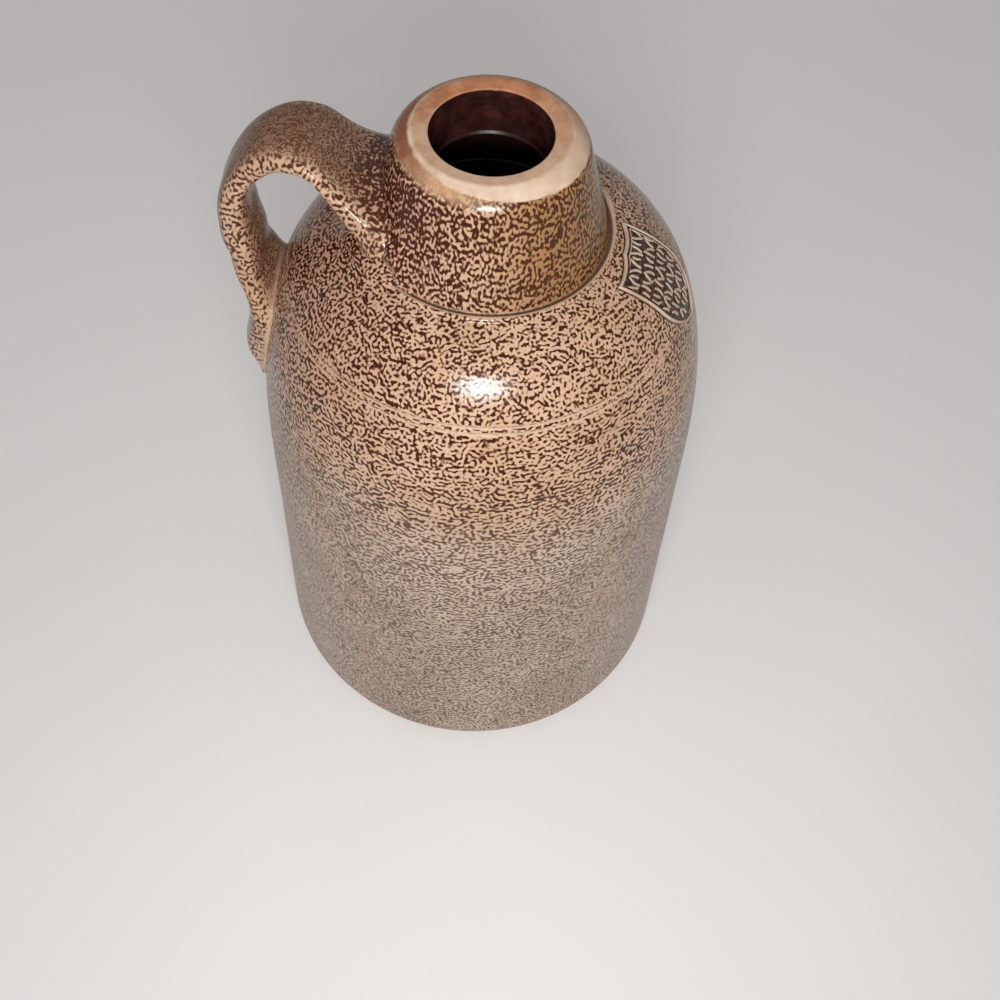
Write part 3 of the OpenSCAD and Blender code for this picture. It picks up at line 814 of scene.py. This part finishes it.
def tablet():
    """The tablet with a soft border, a second line inside it and the strokes."""
    gx, gy = np.meshgrid(*(
        np.linspace(-size / 2 - TABLET_MARGIN, size / 2 + TABLET_MARGIN, count)
        for size, count in zip((LABEL_L, LABEL_W), TABLET_GRID)), indexing="ij")
    x, y = gx.ravel(), gy.ravel()
    d = tablet_distance(x, y)
    border = smooth_step(d, -0.05, 0.35) * fade(d, 0.6, 1.0)
    inner = hill(d, 1.6, 0.2) * smooth_step(y + 0.6 * np.abs(x), 2, 6)
    relief = np.maximum(np.maximum(border, 0.7 * inner), 0.85 * strokes(x, y) * (d > 1.5))
    base = np.where(d > 0.5, FIELD_T, 0) * smooth_step(d, 0.2, 1.0)
    height = np.where(d > -0.1, base + (BORDER_T - 0.08 - base) * relief, 0)
    height = height - 0.9 * fade(d, -0.25, 0.12)
    top = on_shoulder(x, y, height)
    low = on_shoulder(x, y, -TABLET_DEPTH)

    n = len(x)
    ids = np.arange(n).reshape(TABLET_GRID)
    keep = (d > -0.45).reshape(TABLET_GRID)
    cell = keep[:-1, :-1] & keep[1:, :-1] & keep[1:, 1:] & keep[:-1, 1:]
    upper = np.stack([ids[:-1, :-1], ids[1:, :-1], ids[1:, 1:], ids[:-1, 1:]], -1)[cell]
    rim = {}
    for q in upper.tolist():
        for a, b in zip(q, q[1:] + q[:1]):
            if rim.pop((b, a), None) is None:
                rim[a, b] = True
    a, b = np.array(list(rim)).T
    faces = np.concatenate([upper, upper[:, ::-1] + n, np.stack([a, a + n, b + n, b], -1)])
    used = np.unique(faces)
    value = np.concatenate([relief, np.zeros(n)])[used]
    add_mesh("jug_label", np.concatenate([top, low])[used], np.searchsorted(used, faces).tolist(),
             {"relief": value}, "label_pad", LABEL)


tablet()

# Floor: plain pale paper, a little brighter to the eye than to the jug
FLOOR_HALF, FLOOR_GLOW = 3.0, 0.16
floor_mesh = bpy.data.meshes.new("floor")
floor_mesh.from_pydata([(x * FLOOR_HALF, y * FLOOR_HALF, 0) for x, y in (
    (-1, -1), (1, -1), (1, 1), (-1, 1))], [], [(0, 1, 2, 3)])
floor = bpy.data.objects.new("floor", floor_mesh)
bpy.context.scene.collection.objects.link(floor)
paper = Nodes("floor_paper")
paper_p = paper.position()
paper.put(paper.bsdf.inputs["Base Color"],
          paper.mix(paper.noise(paper_p, 9, 3), srgb(234, 231, 230), srgb(242, 240, 239)))
paper_bump = paper.new("Bump", {"Strength": 0.1, "Distance": 0.0005,
                                "Height": paper.noise(paper_p, 500, 3)})
paper.put(paper.bsdf.inputs["Normal"], paper_bump.outputs[0])
paper.bsdf.inputs["Roughness"].default_value = 0.6
path = paper.new("LightPath", {}).outputs
seen = paper.math("MAXIMUM", path["Is Camera Ray"], paper.math(
    "MAXIMUM", path["Is Glossy Ray"], path["Is Transmission Ray"]))
paper.put(paper.bsdf.inputs["Emission Color"], srgb(246, 243, 242))
paper.put(paper.bsdf.inputs["Emission Strength"], paper.times(seen, FLOOR_GLOW))
floor_mesh.materials.append(paper.material)

# Camera, fitted to the photo's round outlines
PITCH, ROLL, YAW = math.radians(58.067), math.radians(4.345), math.radians(0.285)
EYE, LENS_MM, SENSOR_MM = Vector((0.0077, -0.2217, 0.4130)), 40.68, 36.0
forward = Vector((math.sin(YAW) * math.cos(PITCH), math.cos(YAW) * math.cos(PITCH),
                  -math.sin(PITCH)))
level = Vector((math.cos(YAW), -math.sin(YAW), 0))
upright = level.cross(forward)
right = math.cos(ROLL) * level + math.sin(ROLL) * upright
up = -math.sin(ROLL) * level + math.cos(ROLL) * upright
camera_data = bpy.data.cameras.new("camera")
camera_data.lens = LENS_MM
camera_data.sensor_width = SENSOR_MM
camera_data.clip_start = 0.01
camera = bpy.data.objects.new("camera", camera_data)
bpy.context.scene.collection.objects.link(camera)
camera.matrix_world = Matrix((
    (right.x, up.x, -forward.x, EYE.x), (right.y, up.y, -forward.y, EYE.y),
    (right.z, up.z, -forward.z, EYE.z), (0, 0, 0, 1)))
bpy.context.scene.camera = camera

# Light: a small lamp just under the lens, and a soft even studio
LAMP_W, LAMP_H, LAMP_WATTS, LAMP_DROP, LAMP_LEFT = 0.12, 0.07, 0.98, 0.07, 0.002
STUDIO_COLOUR, STUDIO_STRENGTH = (1.0, 0.985, 0.965, 1), 0.30
lamp_data = bpy.data.lights.new("key", "AREA")
lamp_data.shape = "ELLIPSE"
lamp_data.size, lamp_data.size_y = LAMP_W, LAMP_H
lamp_data.energy = LAMP_WATTS
lamp = bpy.data.objects.new("key", lamp_data)
lamp.location = EYE - LAMP_LEFT * right - LAMP_DROP * up
aim = Vector((0, 0, 0.15)) - lamp.location
lamp.rotation_euler = aim.to_track_quat("-Z", "Y").to_euler()
bpy.context.scene.collection.objects.link(lamp)
world = bpy.data.worlds.new("studio")
bpy.context.scene.world = world
world.use_nodes = True
background = world.node_tree.nodes["Background"].inputs
background["Color"].default_value = STUDIO_COLOUR
background["Strength"].default_value = STUDIO_STRENGTH
bpy.context.scene.view_settings.view_transform = "Standard"
